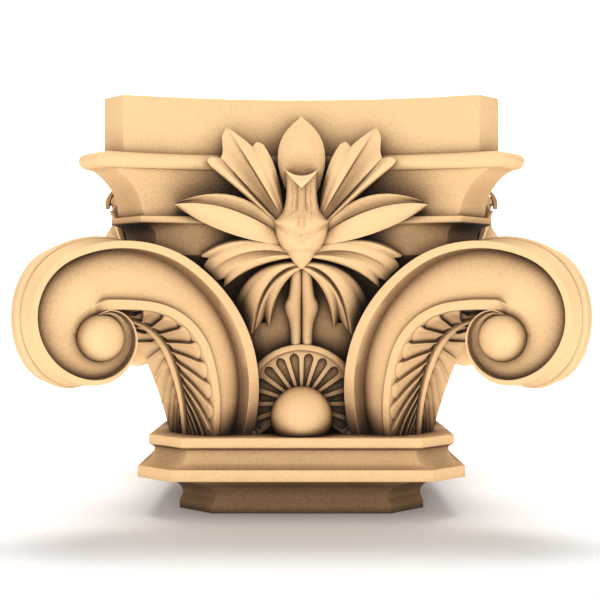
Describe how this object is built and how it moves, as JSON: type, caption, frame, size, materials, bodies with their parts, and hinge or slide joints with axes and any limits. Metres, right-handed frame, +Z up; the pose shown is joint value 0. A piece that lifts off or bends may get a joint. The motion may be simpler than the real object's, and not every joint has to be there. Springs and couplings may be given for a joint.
{
  "type": "corinthian capital",
  "caption": "Carved stone column capital: stepped base, flared bell, corner scrolls with ribbed leaves, a flower over a fluted rosette on each face, and a moulded top slab with hollowed sides.",
  "frame": {"origin": "centre of the underside of the base, where it rests on the column shaft", "axes": "+Z up along the column, -Y out of the front face, +X to the viewer's right"},
  "size_m": [0.5154, 0.5154, 0.4],
  "materials": {
    "stone": "rubbed fine-grained warm buff stone"
  },
  "bodies": {
    "root": {"capital": "stone"}
  },
  "joints": []
}
